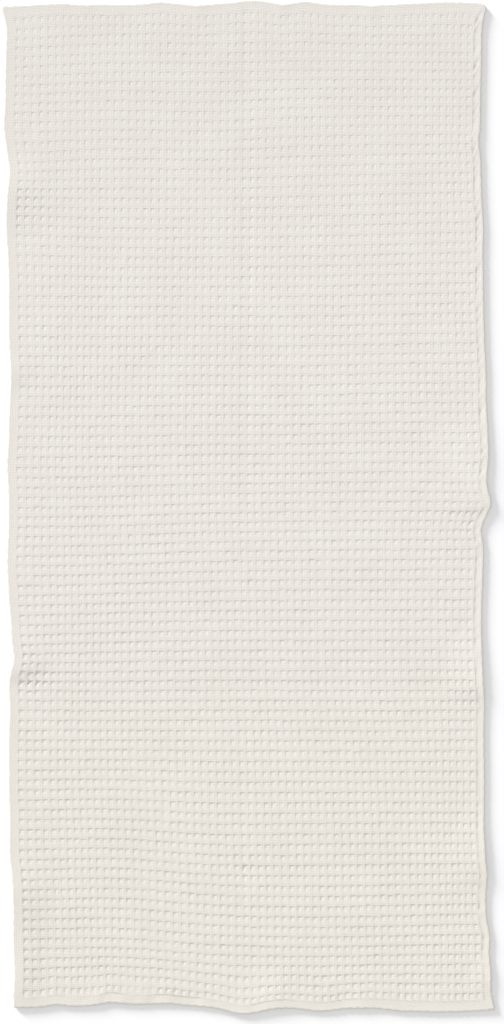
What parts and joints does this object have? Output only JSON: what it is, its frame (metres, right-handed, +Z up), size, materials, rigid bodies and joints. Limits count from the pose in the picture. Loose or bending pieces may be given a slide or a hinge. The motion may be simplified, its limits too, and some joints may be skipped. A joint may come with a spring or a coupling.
{
  "type": "bath towel",
  "caption": "Flat rectangular cotton bath towel in waffle weave with narrow turned hems, spread out face up with softly wavy edges.",
  "frame": {"origin": "middle of the towel's bounding box, on the surface that its underside rests on", "axes": "+Y along the length, from the bottom hem to the top hem; +X across the width, to the right as seen from above; +Z up, out of the face"},
  "size_m": [0.7267, 1.4908, 0.0073],
  "materials": {
    "waffle_cotton": "ivory woven waffle cotton, matte"
  },
  "bodies": {
    "root": {"towel": "waffle_cotton"}
  },
  "joints": []
}
